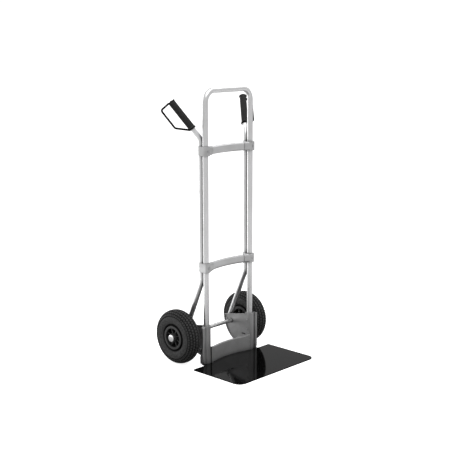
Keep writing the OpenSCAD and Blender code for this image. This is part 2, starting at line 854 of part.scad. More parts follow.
module rim_half(side, shade) {
    split = 0.05;
    color(shade) difference() {
        union() {
            rotate_extrude() {
                translate([rim_in_r, split]) square([bead_r - fit - rim_in_r, rim_out - split]);
                translate([rim_in_r, rim_out - rim_lip_t]) square([rim_lip_r - rim_in_r, rim_lip_t]);
                translate([rim_lip_r, rim_out - rim_lip_t / 2]) circle(r = rim_lip_t / 2);
                translate([hub_sleeve_r + fit, split]) square([rim_in_r - hub_sleeve_r, web_t - split]);
                translate([hub_sleeve_r + fit, split])
                    square([hub_barrel_r - hub_sleeve_r - fit, hub_half - split]);
            }
            around(rib_count, 180 / rib_count) translate([hub_barrel_r - 2, -rib_t / 2, split])
                cube([rim_in_r - hub_barrel_r + 3, rib_t, rib_out - split]);
            around(4, 45) translate([rim_bolt_orbit, 0, split])
                cylinder(h = rim_boss_out - split, r = rim_boss_r);
        }
        around(4, 45) translate([rim_bolt_orbit, 0, -past])
            cylinder(h = rim_boss_out + 2 * past, r = m6_r + clearance);
    }
}

module rim_outer_half(side) {
    at_wheel(side) difference() {
        rim_half(side, [0.12, 0.12, 0.12]);
        translate([-bead_r - past, 0, valve_out]) rotate([0, 90, 0])
            cylinder(h = bead_r - rim_in_r + 3 * past, r = valve_base_r + fit);
    }
}

module rim_inner_half(side) {
    at_wheel(side) mirror([0, 0, 1]) rim_half(side, [0.12, 0.12, 0.12]);
}

module hub_sleeve(side) {
    color("silver") at_wheel(side) translate([0, 0, -hub_half]) difference() {
        cylinder(h = 2 * hub_half, r = hub_sleeve_r);
        translate([0, 0, -past]) cylinder(h = 2 * hub_half + 2 * past, r = hub_bore_r);
    }
}

module rim_bolts(side) {
    color("silver") at_wheel(side) around(4, 45) translate([rim_bolt_orbit, 0, 0]) {
        translate([0, 0, rim_boss_out]) cylinder(h = 4, r = m6_r * 1.9, $fn = 6);
        translate([0, 0, -rim_boss_out - nut_h - 1])
            cylinder(h = 2 * rim_boss_out + nut_h + 1, r = m6_r);
    }
}

module rim_nuts(side) {
    color("silver") at_wheel(side) around(4, 45)
        translate([rim_bolt_orbit, 0, -rim_boss_out - nut_h]) hex_nut(m6_r);
}

// One bearing at each end of the hub
module both_bearings() {
    for (m = [0, 1]) mirror([0, 0, m]) translate([0, 0, cage_end - cage_len]) children();
}

module bearing_cages(side) {
    window = roller_len + 0.4;
    color([0.75, 0.72, 0.6]) at_wheel(side) both_bearings() difference() {
        cylinder(h = cage_len, r = hub_bore_r - 0.4);
        translate([0, 0, -past]) cylinder(h = cage_len + 2 * past, r = axle_r + 0.4);
        around(roller_count) translate([axle_r - 1, -roller_r - 0.1, (cage_len - window) / 2])
            cube([2 * roller_r + 3, 2 * roller_r + 0.2, window]);
    }
}

module bearing_rollers(side) {
    color([0.85, 0.85, 0.86]) at_wheel(side) both_bearings()
        around(roller_count) translate([roller_orbit, 0, (cage_len - roller_len) / 2])
            cylinder(h = roller_len, r = roller_r);
}

// Valve, above the hub on the outer side of the wheel
module at_valve(side, r) {
    at_wheel(side) translate([-r, 0, valve_out]) rotate([0, 90, 0]) children();
}

module valve_stem(side) {
    base = 57.2;
    color([0.6, 0.5, 0.3]) at_valve(side, base) {
        cylinder(h = base - rim_in_r + 1.5, r = valve_base_r);
        cylinder(h = base - valve_tip, r = valve_r);
    }
}

module valve_cap(side) {
    color([0.1, 0.1, 0.1]) at_valve(side, valve_tip + 6) difference() {
        cylinder(h = 8, r = valve_cap_r);
        translate([0, 0, -past]) cylinder(h = 6 + past + fit, r = valve_r + fit);
    }
}

front_frame_tube();
handle_tube(left);  // left_handle_tube
handle_tube(right);  // right_handle_tube
crossbar(upper_bar_z);  // upper_crossbar
crossbar(lower_bar_z);  // lower_crossbar
clamp(upper_bar_z, left);  // upper_left_clamp
clamp(upper_bar_z, right);  // upper_right_clamp
clamp(lower_bar_z, left);  // lower_left_clamp
clamp(lower_bar_z, right);  // lower_right_clamp
clamp_screws();
clamp_nuts();
side_bracket(left);  // left_side_bracket
side_bracket(right);  // right_side_bracket
leg_screws();
handle_tube_screws();
handle_tube_nuts();
back_panel();
panel_screws();
panel_nuts();
toe_plate();
toe_plate_bolts();
toe_plate_nuts();
grip(left);  // left_grip
grip(right);  // right_grip
hand_guard(left);  // left_hand_guard
hand_guard(right);  // right_hand_guard
guard_screws();
handle_tube_plugs();
axle();
wheel_spacers();
axle_washers();
hub_cap(left);  // left_hub_cap
hub_cap(right);  // right_hub_cap
tyre(left);  // left_tyre
inner_tube(left);  // left_inner_tube
rim_outer_half(left);  // left_rim_outer_half
rim_inner_half(left);  // left_rim_inner_half
hub_sleeve(left);  // left_hub_sleeve
rim_bolts(left);  // left_rim_bolts
rim_nuts(left);  // left_rim_nuts
bearing_cages(left);  // left_bearing_cages
bearing_rollers(left);  // left_bearing_rollers
valve_stem(left);  // left_valve_stem
valve_cap(left);  // left_valve_cap
tyre(right);  // right_tyre
inner_tube(right);  // right_inner_tube
rim_outer_half(right);  // right_rim_outer_half
rim_inner_half(right);  // right_rim_inner_half
hub_sleeve(right);  // right_hub_sleeve
rim_bolts(right);  // right_rim_bolts
rim_nuts(right);  // right_rim_nuts
bearing_cages(right);  // right_bearing_cages
bearing_rollers(right);  // right_bearing_rollers
valve_stem(right);  // right_valve_stem
valve_cap(right);  // right_valve_cap
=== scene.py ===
"""The looks of the hand truck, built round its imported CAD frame.

Metres. +Z is up, -Y is the front where the load stands, and the left side is at -X.
"""

import json
import math

import bmesh
import bpy
from mathutils import Matrix, Vector

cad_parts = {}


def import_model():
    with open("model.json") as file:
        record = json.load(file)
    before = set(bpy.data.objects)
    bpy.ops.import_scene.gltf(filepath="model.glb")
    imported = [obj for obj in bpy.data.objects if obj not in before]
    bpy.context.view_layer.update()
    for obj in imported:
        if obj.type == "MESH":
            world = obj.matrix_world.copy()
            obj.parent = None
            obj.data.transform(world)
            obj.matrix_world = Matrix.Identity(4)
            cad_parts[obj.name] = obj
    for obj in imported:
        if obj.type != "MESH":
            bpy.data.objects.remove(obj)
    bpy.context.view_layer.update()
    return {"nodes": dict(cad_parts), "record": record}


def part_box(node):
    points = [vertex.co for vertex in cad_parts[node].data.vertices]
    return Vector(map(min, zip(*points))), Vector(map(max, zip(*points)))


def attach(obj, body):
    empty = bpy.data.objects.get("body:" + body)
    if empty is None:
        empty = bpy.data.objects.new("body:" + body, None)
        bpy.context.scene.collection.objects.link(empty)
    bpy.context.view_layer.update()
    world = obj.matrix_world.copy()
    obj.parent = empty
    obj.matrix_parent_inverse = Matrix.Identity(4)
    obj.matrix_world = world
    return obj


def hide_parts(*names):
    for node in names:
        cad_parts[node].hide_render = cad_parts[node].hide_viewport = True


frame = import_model()
MM = 0.001
SIDES = {"left": -1, "right": 1}
FIT = 0.05 * MM     # round a part that sits in a bore


# ---- Places and sizes, from the frame ---------------------------------------

def middle(node):
    low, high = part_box(node)
    return (low + high) / 2


tube_low, tube_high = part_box("front_frame_tube")
FRAME_R = (tube_high.y - tube_low.y) / 2
LEG_X = tube_high.x - FRAME_R
LEG_Y = middle("front_frame_tube").y
LOOP_Z = tube_high.z - FRAME_R
LEG_FOOT_Z = tube_low.z
LOOP_BEND = 55 * MM
TUBE_WALL = 2 * MM

HANDLE_R = 12.5 * MM
HANDLE_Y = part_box("right_handle_tube")[0].y + HANDLE_R + FIT
HANDLE_BEND = 60 * MM
HANDLE_FOOT_Z = 118 * MM
UPPER_BEND_Z = 1064 * MM
LOWER_BEND_Z = 400 * MM
LOWER_LEAN = math.radians(23)
GRIP_LEAN = math.radians(38.3)
GRIP_SPLAY = math.radians(40.9)
GRIP_START = 62 * MM        # from the upper bend, along the grip
GRIP_END = 221 * MM
GRIP_R = 16.3 * MM
DISC_T = 5 * MM
RING_T = 7 * MM
GUARD_R = 19 * MM
GUARD_BAR_R = 4.7 * MM
GUARD_BEND = 12 * MM
GUARD_REACH = 73.2 * MM

AXLE = middle("axle")


def along_grip(side, distance, out=0.0):
    """Point beside a grip: distance along it from the upper bend, and out towards its guard."""
    axis = grip_axis(side)
    outward = Vector((axis.z, 0, -axis.x)).normalized() * side
    return Vector((side * LEG_X, HANDLE_Y, UPPER_BEND_Z)) + axis * distance + outward * out


def grip_axis(side):
    level = math.sin(GRIP_LEAN)
    across, back = level * math.sin(GRIP_SPLAY), level * math.cos(GRIP_SPLAY)
    return Vector((side * across, back, math.cos(GRIP_LEAN)))


# ---- Mesh helpers -----------------------------------------------------------

def add_piece(name, bm, material, body, slot, *stands_for, crease=35):
    """Turns a bmesh into a piece that rides on a body and stands for CAD nodes."""
    bmesh.ops.recalc_face_normals(bm, faces=bm.faces)
    mesh = bpy.data.meshes.new(name)
    bm.to_mesh(mesh)
    bm.free()
    mesh.shade_smooth()
    mesh.set_sharp_from_angle(angle=math.radians(crease))
    mesh.materials.append(material)
    piece = bpy.data.objects.new(name, mesh)
    bpy.context.scene.collection.objects.link(piece)
    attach(piece, body)
    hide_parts(*stands_for)
    return piece


def add_rings(bm, rings, loop=False, caps=False, flows=None):
    """Joins rings of equally many points into a skin.

    flows says where each point lies along the piece; without it, its own place is used.
    """
    flow = bm.verts.layers.float_vector.get("flow") or bm.verts.layers.float_vector.new("flow")
    rows = []
    for k, ring in enumerate(rings):
        row = [bm.verts.new(point) for point in ring]
        for i, vert in enumerate(row):
            vert[flow] = flows[k][i] if flows else vert.co
        rows.append(row)
    pairs = list(zip(rows, rows[1:]))
    if loop:
        pairs.append((rows[-1], rows[0]))
    for low, high in pairs:
        for i in range(len(low)):
            j = (i + 1) % len(low)
            bm.faces.new((low[i], low[j], high[j], high[i]))
    if caps:
        bm.faces.new(rows[0])
        bm.faces.new(rows[-1])
    return rows


def arc(x, y, radius, start, end, count):
    """Points on an arc, with its angles in degrees."""
    angles = [math.radians(start + (end - start) * i / count) for i in range(count + 1)]
    return [(x + radius * math.cos(a), y + radius * math.sin(a)) for a in angles]


def rounded_box(x0, y0, x1, y1, radius, count=4):
    """Closed outline of a rectangle with round corners."""
    return (arc(x1 - radius, y0 + radius, radius, -90, 0, count)
            + arc(x1 - radius, y1 - radius, radius, 0, 90, count)
            + arc(x0 + radius, y1 - radius, radius, 90, 180, count)
            + arc(x0 + radius, y0 + radius, radius, 180, 270, count))


def lathe(bm, profile, place, segments=64, loop=True):
    """Turns a profile of (radius, height) about the Z axis of place."""
    turns = [2 * math.pi * i / segments for i in range(segments)]
    rings = [[place @ Vector((r * math.cos(a), r * math.sin(a), h)) for a in turns] for r, h in profile]
    add_rings(bm, rings, loop=loop, caps=not loop)


def bent_path(corners, bend, step=5):
    """Points along a polyline whose corners are rounded to one centre-line radius."""
    points = [corners[0]]
    for before, corner, after in zip(corners, corners[1:], corners[2:]):
        u = (corner - before).normalized()
        v = (after - corner).normalized()
        turn = u.angle(v)
        start = corner - u * bend * math.tan(turn / 2)
        inward = (v - u * u.dot(v)).normalized()
        centre = start + inward * bend
        count = max(2, math.ceil(math.degrees(turn) / step))
        for i in range(count + 1):
            a = turn * i / count
            points.append(centre - inward * bend * math.cos(a) + u * bend * math.sin(a))
    points.append(corners[-1])
    return points


def swept_rings(points, outline):
    """An outline of (side, up) points carried along a path without twist, and where each point lies."""
    start = (points[1] - points[0]).normalized()
    side = start.orthogonal().normalized()
    rings, flows, run = [], [], 0.0
    for i, point in enumerate(points):
        before, after = points[max(i - 1, 0)], points[min(i + 1, len(points) - 1)]
        ahead = (after - before).normalized()
        side = (side - ahead * side.dot(ahead)).normalized()
        up = ahead.cross(side)
        run += (point - before).length
        rings.append([point + side * x + up * y for x, y in outline])
        flows.append([Vector((x, y, run)) for x, y in outline])
    return rings, flows


def circle(radius, count=48):
    return arc(0, 0, radius, 0, 360 - 360 / count, count - 1)


def add_tube(bm, points, radius, wall):
    """A tube along a path, with its wall and its two ends."""
    outer, outer_flow = swept_rings(points, circle(radius))
    inner, inner_flow = swept_rings(points, circle(radius - wall))
    add_rings(bm, outer + inner[::-1], loop=True, flows=outer_flow + inner_flow[::-1])


def place_along(point, axis):
    """Matrix that puts the origin at a point and turns +Z along an axis."""
    return Matrix.Translation(point) @ axis.to_track_quat("Z", "Y").to_matrix().to_4x4()


def wheel_place(side):
    """Matrix with its origin at the middle of a wheel and +Z out from the truck."""
    name = "left_tyre" if side < 0 else "right_tyre"
    return place_along(middle(name), Vector((side, 0, 0)))


# ---- Materials --------------------------------------------------------------

class Surface:
    """A material with one Principled shader, and short ways to add nodes to it."""

    def __init__(self, name, along=False, **sockets):
        self.material = bpy.data.materials.new(name)
        self.material.use_nodes = True
        self.tree = self.material.node_tree
        self.shader = self.tree.nodes["Principled BSDF"]
        for socket, value in sockets.items():
            self.shader.inputs[socket.replace("_", " ")].default_value = value
        if along:
            self.place = self.add("ShaderNodeAttribute", attribute_name="flow").outputs["Vector"]
        else:
            self.place = self.add("ShaderNodeTexCoord").outputs["Object"]
        self.normal = None

    def add(self, kind, **settings):
        node = self.tree.nodes.new(kind)
        for key, value in settings.items():
            setattr(node, key, value)
        return node

    def feed(self, socket, value):
        if isinstance(value, bpy.types.NodeSocket):
            self.tree.links.new(value, socket)
        else:
            socket.default_value = value

    def noise(self, scale, stretch=(1, 1, 1), detail=2.0, place=None):
        """Cloudy pattern from 0 to 1, with scale features a metre, more along a stretched axis."""
        mapping = self.add("ShaderNodeMapping")
        mapping.inputs["Scale"].default_value = [scale * s for s in stretch]
        self.feed(mapping.inputs["Vector"], place or self.place)
        noise = self.add("ShaderNodeTexNoise")
        noise.inputs["Scale"].default_value = 1
        noise.inputs["Detail"].default_value = detail
        self.feed(noise.inputs["Vector"], mapping.outputs["Vector"])
        return noise.outputs["Fac"]

    def fit(self, value, low, high, to_low=0.0, to_high=1.0):
        """Maps low..high to to_low..to_high, clamped."""
        node = self.add("ShaderNodeMapRange")
        limits = {"From Min": low, "From Max": high, "To Min": to_low, "To Max": to_high}
        for socket, number in limits.items():
            node.inputs[socket].default_value = number
        self.feed(node.inputs["Value"], value)
        return node.outputs["Result"]

    def blend(self, share, first, second):
        """Mixes two colours."""
        node = self.add("ShaderNodeMix", data_type="RGBA")
        self.feed(node.inputs["Factor"], share)
        for socket, colour in ((node.inputs[6], first), (node.inputs[7], second)):
            self.feed(socket, colour if isinstance(colour, bpy.types.NodeSocket) else (*colour, 1))
        return node.outputs[2]

    def maths(self, operation, first, second):
        node = self.add("ShaderNodeMath", operation=operation)
        self.feed(node.inputs[0], first)
        self.feed(node.inputs[1], second)
        return node.outputs[0]

    def colour(self, value):
        self.feed(self.shader.inputs["Base Color"], value)

    def roughness(self, value):
        self.feed(self.shader.inputs["Roughness"], value)

    def round_edges(self, radius):
        """Shades sharp edges as if they were rounded, and gives a pattern that is 1 along them."""
        bevel = self.add("ShaderNodeBevel", samples=6)
        bevel.inputs["Radius"].default_value = radius
        self.normal = bevel.outputs["Normal"]
        flat = self.add("ShaderNodeNewGeometry").outputs["Normal"]
        same = self.add("ShaderNodeVectorMath", operation="DOT_PRODUCT")
        self.feed(same.inputs[0], self.normal)
        self.feed(same.inputs[1], flat)
        return self.fit(same.outputs["Value"], 0.995, 0.88)

    def painted_crevice_shade(self, reach, low, high):
        """Pattern that is 0 in corners and gaps and 1 in the open, looking that far round: the mask by
        which colours get painted shade.
        """
        node = self.add("ShaderNodeAmbientOcclusion", samples=8)
        node.inputs["Distance"].default_value = reach
        return self.fit(node.outputs["AO"], low, high)

    def bump(self, height, depth):
        """Adds a relief of that depth in metres."""
        node = self.add("ShaderNodeBump")
        node.inputs["Distance"].default_value = depth
        self.feed(node.inputs["Height"], height)
        if self.normal:
            self.feed(node.inputs["Normal"], self.normal)
        self.normal = node.outputs["Normal"]
        self.feed(self.shader.inputs["Normal"], self.normal)

    def from_axle(self):
        """Coordinates that follow a turned part: distance from the axle, then position along it."""
        away = self.add("ShaderNodeVectorMath", operation="SUBTRACT")
        self.feed(away.inputs[0], self.place)
        away.inputs[1].default_value = (0, AXLE.y, AXLE.z)
        split = self.add("ShaderNodeSeparateXYZ")
        self.feed(split.inputs[0], away.outputs[0])
        radius = self.maths("SQRT", self.maths(
            "ADD",
            self.maths("POWER", split.outputs["Y"], 2.0),
            self.maths("POWER", split.outputs["Z"], 2.0)), 0.0)
        joined = self.add("ShaderNodeCombineXYZ")
        self.feed(joined.inputs["X"], radius)
        self.feed(joined.inputs["Y"], split.outputs["X"])
        return joined.outputs[0]


def drawn_aluminium(name, dark, light, rough):
    """Satin tube or extrusion: fine lines along its length, with faint stains and scuffs, and painted
    shade in its gaps and beside other parts.
    """
    s = Surface(name, along=True, Metallic=1.0)
    stains = s.noise(14, (1, 1, 0.6), detail=4)
    lines = s.noise(1500, (1, 1, 0.012), detail=1)
    scuffs = s.fit(s.noise(420, (1, 1, 0.12), detail=3), 0.62, 0.72)
    body = s.blend(s.fit(stains, 0.3, 0.7), dark, light)
    # Painted shade: the colour falls towards 15 % of the dark tone in gaps and near other parts.
    s.colour(s.blend(s.painted_crevice_shade(26 * MM, 0.3, 0.95), [0.15 * c for c in dark], body))
    s.roughness(s.maths("ADD", s.fit(lines, 0.3, 0.7, rough - 0.05, rough + 0.05),
                        s.fit(scuffs, 0, 1, 0, 0.10)))
    s.bump(lines, 0.015 * MM)
    return s.material


def cast_aluminium(name, dark, light, rough, grain=0.05 * MM):
    """Blasted casting: fine grain, cloudy tone, edges rubbed brighter, and painted shade in corners and
    near other parts.
    """
    s = Surface(name, Metallic=1.0)
    edges = s.round_edges(1.2 * MM)
    clouds = s.noise(22, detail=5)
    fine = s.noise(1300, detail=2)
    body = s.blend(s.fit(clouds, 0.3, 0.7), dark, light)
    rubbed = s.maths("MULTIPLY", edges, s.fit(s.noise(90, detail=3), 0.35, 0.65, 0.2, 0.8))
    worn = s.blend(rubbed, body, [min(1, c * 1.5) for c in light])
    # Painted shade: the colour falls towards 30 % of the dark tone in corners and near other parts.
    s.colour(s.blend(s.painted_crevice_shade(30 * MM, 0.15, 0.85), [0.3 * c for c in dark], worn))
    s.roughness(s.fit(fine, 0.25, 0.75, rough - 0.06, rough + 0.06))
    s.bump(fine, grain)
    return s.material


def gloss_black_sheet():
    """Toe plate: black gloss coat with a faint orange peel, scuffed along its front."""
    s = Surface("toe_plate_coat", IOR=1.15)
    edges = s.round_edges(1.0 * MM)
    peel = s.noise(260, detail=1)
    scratches = s.fit(s.noise(700, (0.06, 1, 1), detail=2), 0.66, 0.74)
    clouds = s.fit(s.noise(9, detail=4), 0.3, 0.7)
    tone = s.blend(clouds, (0.0012, 0.0012, 0.0013), (0.0022, 0.0022, 0.0023))
    s.colour(s.blend(s.maths("MULTIPLY", edges, 0.5), tone, (0.05, 0.05, 0.052)))
    s.roughness(s.maths("ADD", s.fit(peel, 0, 1, 0.05, 0.09), s.fit(scratches, 0, 1, 0, 0.08)))
    s.bump(peel, 0.006 * MM)
    return s.material


def zinc_steel(name, dark=(0.46, 0.46, 0.47), light=(0.62, 0.62, 0.63)):
    """Zinc-plated fastener: mottled, with worn edges."""
    s = Surface(name, Metallic=1.0)
    edges = s.round_edges(0.4 * MM)
    mottle = s.noise(380, detail=4)
    s.colour(s.blend(s.maths("MULTIPLY", edges, 0.6), s.blend(mottle, dark, light), (0.75, 0.75, 0.76)))
    s.roughness(s.fit(mottle, 0.3, 0.7, 0.26, 0.42))
    s.bump(s.noise(1400, detail=1), 0.01 * MM)
    return s.material


def turned_steel(name, dark, light, rough):
    """Turned and polished steel: fine rings about the axle."""
    s = Surface(name, Metallic=1.0)
    s.round_edges(0.3 * MM)
    rings = s.noise(2600, (1, 1, 0), detail=2, place=s.from_axle())
    s.colour(s.blend(s.fit(s.noise(60, detail=3), 0.3, 0.7), dark, light))
    s.roughness(s.fit(rings, 0.3, 0.7, rough - 0.03, rough + 0.05))
    s.bump(rings, 0.006 * MM)
    return s.material


def rubber(name, dark, light, rough, grain=0.12 * MM, raised=None):
    """Vulcanised rubber: fine grain, dusty clouds, and raised parts worn paler; on the tyre the same tone
    also holds painted shade, left dark in the grooves and lower on the tread.
    """
    s = Surface(name, IOR=1.3)
    clouds = s.noise(28, detail=5)
    fine = s.noise(900, detail=3)
    body = s.blend(s.fit(clouds, 0.3, 0.7), dark, light)
    if raised:
        # The tone attribute: wear on raised parts, and on the tyre also painted shade in grooves and on
        # the tread.
        worn = s.add("ShaderNodeAttribute", attribute_name="raised").outputs["Fac"]
        rubbed = s.maths("MULTIPLY", worn, s.fit(s.noise(130, detail=4), 0.3, 0.75, 0.35, 1.0))
        body = s.blend(rubbed, body, raised)
    s.colour(body)
    s.roughness(s.fit(fine, 0.25, 0.75, rough - 0.08, rough + 0.08))
    s.bump(fine, grain)
    return s.material


def moulded_plastic(name, dark, light, rough, rounding=0.5 * MM, grain=0.03 * MM, ior=1.4):
    """Injection-moulded plastic with a fine spark-eroded grain, and painted shade in corners and near
    other parts.
    """
    s = Surface(name, IOR=ior)
    edges = s.round_edges(rounding)
    fine = s.noise(1600, detail=2)
    body = s.blend(s.fit(s.noise(35, detail=4), 0.3, 0.7), dark, light)
    worn = s.blend(s.maths("MULTIPLY", edges, 0.35), body, [min(1, 2.2 * c + 0.01) for c in light])
    # Painted shade: the colour falls towards 20 % of the dark tone in corners and near other parts.
    s.colour(s.blend(s.painted_crevice_shade(30 * MM, 0.1, 0.8), [0.2 * c for c in dark], worn))
    s.roughness(s.fit(fine, 0.25, 0.75, rough - 0.06, rough + 0.06))
    s.bump(fine, grain)
    return s.material


def grey(value, tint=1.0):
    return (value, value, value * tint)


MATERIALS = {
    "tubes": drawn_aluminium("satin_tube", grey(0.76), grey(0.86, 1.01), 0.30),
    "crossbars": drawn_aluminium("satin_extrusion", grey(0.60), grey(0.68, 1.01), 0.42),
    "clamps": cast_aluminium("clamp_casting", grey(0.50), grey(0.62, 1.01), 0.34, 0.03 * MM),
    "side_brackets": cast_aluminium("bracket_casting", grey(0.42), grey(0.50, 1.01), 0.48),
    "back_panel": cast_aluminium("panel_sheet", grey(0.48), grey(0.56, 1.01), 0.52, 0.03 * MM),
    "toe_plate": gloss_black_sheet(),
    "fasteners": zinc_steel("zinc_plate"),
    "grips": rubber("grip_rubber", grey(0.010), grey(0.018), 0.62, 0.08 * MM, grey(0.050)),
    "hand_guards": moulded_plastic("guard_plastic", grey(0.002), grey(0.003), 0.38, ior=1.2),
    "tube_plugs": moulded_plastic("plug_plastic", grey(0.02), grey(0.035), 0.5),
    "axle": turned_steel("axle_steel", grey(0.66), grey(0.76), 0.22),
    "spacers": zinc_steel("spacer_zinc"),
    "hub_caps": turned_steel("cap_chrome", grey(0.86), grey(0.93), 0.12),
    "tyres": rubber("tyre_rubber", grey(0.003), grey(0.007), 0.7, 0.10 * MM, grey(0.105)),
    "inner_tubes": rubber("inner_tube_rubber", grey(0.02), grey(0.035), 0.6, 0.05 * MM),
    "rims": moulded_plastic("rim_plastic", grey(0.045), grey(0.065), 0.42, 0.8 * MM),
    "hub_sleeves": turned_steel("sleeve_steel", grey(0.52), grey(0.60), 0.3),
    "bearing_cages": moulded_plastic("cage_plastic", (0.62, 0.57, 0.42), (0.72, 0.67, 0.52), 0.45),
    "bearing_rollers": turned_steel("roller_steel", grey(0.72), grey(0.80), 0.15),
    "valve_stems": turned_steel("valve_brass", (0.50, 0.40, 0.20), (0.62, 0.50, 0.27), 0.25),
    "valve_caps": moulded_plastic("valve_cap_plastic", grey(0.25), grey(0.34), 0.4),
}


# ---- Tubes and crossbars ----------------------------------------------------

def front_frame_tube():
    corners = [Vector((x, LEG_Y, z)) for x, z in (
        (-LEG_X, LEG_FOOT_Z), (-LEG_X, LOOP_Z), (LEG_X, LOOP_Z), (LEG_X, LEG_FOOT_Z))]
    bm = bmesh.new()
    add_tube(bm, bent_path(corners, LOOP_BEND), FRAME_R - FIT, TUBE_WALL)
    add_piece("looped_front_tube", bm, MATERIALS["tubes"], "frame", "tubes", "front_frame_tube")


def handle_tube(name, side):
    drop = LOWER_BEND_Z - HANDLE_FOOT_Z
    corners = [
        Vector((side * LEG_X, HANDLE_Y + drop * math.tan(LOWER_LEAN), HANDLE_FOOT_Z)),
        Vector((side * LEG_X, HANDLE_Y, LOWER_BEND_Z)),
        Vector((side * LEG_X, HANDLE_Y, UPPER_BEND_Z)),
        along_grip(side, GRIP_END - DISC_T - 4 * MM),
    ]
    bm = bmesh.new()
    add_tube(bm, bent_path(corners, HANDLE_BEND), HANDLE_R, TUBE_WALL)
    add_piece(f"{name}_bent_handle_tube", bm, MATERIALS["tubes"], "frame", "tubes", f"{name}_handle_tube")


def crossbar(node):
    """Flat-oval bar, bowed back on one arc between the clamps."""
    low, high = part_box(node)
    depth, wall = 20 * MM, 2 * MM
    height = high.z - low.z
    bow = 30 * MM
    insert = 20 * MM    # from the leg to the bar's end, inside the clamp
    radius = (LEG_X ** 2 + bow ** 2) / (2 * bow)
    centre_y = LEG_Y + bow - depth / 2 - radius
    reach = math.asin((LEG_X - insert) / radius)
    count = 40
    turns = [reach * (2 * i / count - 1) for i in range(count + 1)]
    points = [Vector((radius * math.sin(a), centre_y + radius * math.cos(a), (low.z + high.z) / 2))
              for a in turns]

    def oval(inset):
        r = depth / 2 - inset
        rise = height / 2 - depth / 2
        return arc(0, rise, r, 0, 180, 12) + arc(0, -rise, r, 180, 360, 12)

    def ring(i, inset):
        out = Vector((math.sin(turns[i]), math.cos(turns[i]), 0))
        return [points[i] + out * x + Vector((0, 0, y)) for x, y in oval(inset)]

    def flow(i, inset):
        return [Vector((x, y, radius * turns[i])) for x, y in oval(inset)]

    order = range(count + 1)
    rings = [ring(i, 0) for i in order] + [ring(i, wall) for i in reversed(order)]
    flows = [flow(i, 0) for i in order] + [flow(i, wall) for i in reversed(order)]
    bm = bmesh.new()
    add_rings(bm, rings, loop=True, flows=flows)
    add_piece(f"{node}_extrusion", bm, MATERIALS["crossbars"], "frame", "crossbars", node)


# ---- Grips and guards -------------------------------------------------------

def pads(count, gap, slope):
    """Lines across a run of raised pads: (place in pads, 1 on a pad or 0 in a groove)."""
    lines = []
    for i in range(count):
        start, end = i + gap / 2, i + 1 - gap / 2
        lines += [(start, 0), (start + slope, 1), (end - slope, 1), (end, 0)]
    return lines


def grip(name, side):
    """Rubber sleeve with rows of small raised pads between two smooth ends."""
    place = place_along(along_grip(side, GRIP_START + RING_T), grip_axis(side))
    length = GRIP_END - GRIP_START - DISC_T - RING_T
    band = 5 * MM
    ease = 0.6 * MM
    depth = 0.55 * MM
    around, rows = 34, 40
    gap, slope = 0.26, 0.08
    pitch = (length - 2 * band) / rows
    angles = [(2 * math.pi * t / around, level) for t, level in pads(around, gap, slope)]
    heights = [(0, 0), (ease, 1), (band - ease, 1)]
    heights += [(band + t * pitch, level) for t, level in pads(rows, gap, slope)]
    heights += [(length - band + ease, 1), (length - ease, 1), (length, 0)]

    bm = bmesh.new()
    raised = bm.verts.layers.float.new("raised")
    rings, levels = [], []
    for h, across in heights:
        smooth = h < band or h > length - band
        ring_levels = [across if smooth else min(across, level) for _, level in angles]
        rings.append([place @ Vector((r * math.cos(a), r * math.sin(a), h))
                      for (a, _), r in zip(angles, [GRIP_R - depth * (1 - v) for v in ring_levels])])
        levels.append(ring_levels)
    bore = HANDLE_R + FIT
    for h in (length, 0):
        rings.append([place @ Vector((bore * math.cos(a), bore * math.sin(a), h)) for a, _ in angles])
        levels.append([0] * len(angles))
    rows_made = add_rings(bm, rings, loop=True)
    for row, row_levels in zip(rows_made, levels):
        for vert, level in zip(row, row_levels):
            vert[raised] = level
    add_piece(f"{name}_grip_sleeve", bm, MATERIALS["grips"], "frame", "grips", f"{name}_grip")


def hand_guard(name, side):
    """Moulded loop: a ring under the grip, a disc with rounded edges over it, and the bar that joins
    them.
    """
    axis = grip_axis(side)
    disc = GRIP_END - DISC_T
    ring = GRIP_START + RING_T / 2
    screw_r = 3.2 * MM
    root = GUARD_R - 3 * MM     # where the bar starts, out from the grip's middle
    climb = 49 * MM             # how far the lower arm runs up beside the grip
    bm = bmesh.new()
    lathe(bm, rounded_box(HANDLE_R + FIT, 0, GUARD_R, RING_T, 1.6 * MM),
          place_along(along_grip(side, GRIP_START), axis), 72)
    lathe(bm, rounded_box(screw_r, 0, GUARD_R, DISC_T, 1.8 * MM),
          place_along(along_grip(side, disc), axis), 72)
    corners = [along_grip(side, ring, root), along_grip(side, ring + climb, GUARD_REACH),
               along_grip(side, disc, GUARD_REACH), along_grip(side, disc + DISC_T / 2, root)]
    rings, flows = swept_rings(bent_path(corners, GUARD_BEND), circle(GUARD_BAR_R, 24))
    add_rings(bm, rings, caps=True, flows=flows)
    piece = add_piece(f"{name}_guard_loop", bm, MATERIALS["hand_guards"], "frame", "hand_guards",
                      f"{name}_hand_guard")
    melt(piece, 0.7 * MM, 1)


def melt(piece, voxel, passes):
    """Joins overlapping solids into one skin with soft inner corners."""
    remesh = piece.modifiers.new("join", "REMESH")
    remesh.mode = "VOXEL"
    remesh.voxel_size = voxel
    remesh.use_smooth_shade = True
    smooth = piece.modifiers.new("soften", "SMOOTH")
    smooth.factor = 0.5
    smooth.iterations = passes
    apply_modifiers(piece)


def apply_modifiers(piece):
    materials = list(piece.data.materials)
    graph = bpy.context.evaluated_depsgraph_get()
    mesh = bpy.data.meshes.new_from_object(piece.evaluated_get(graph), depsgraph=graph)
    piece.modifiers.clear()
    piece.data = mesh
    mesh.materials.clear()
    for material in materials:
        mesh.materials.append(material)


# ---- Wheels -----------------------------------------------------------------

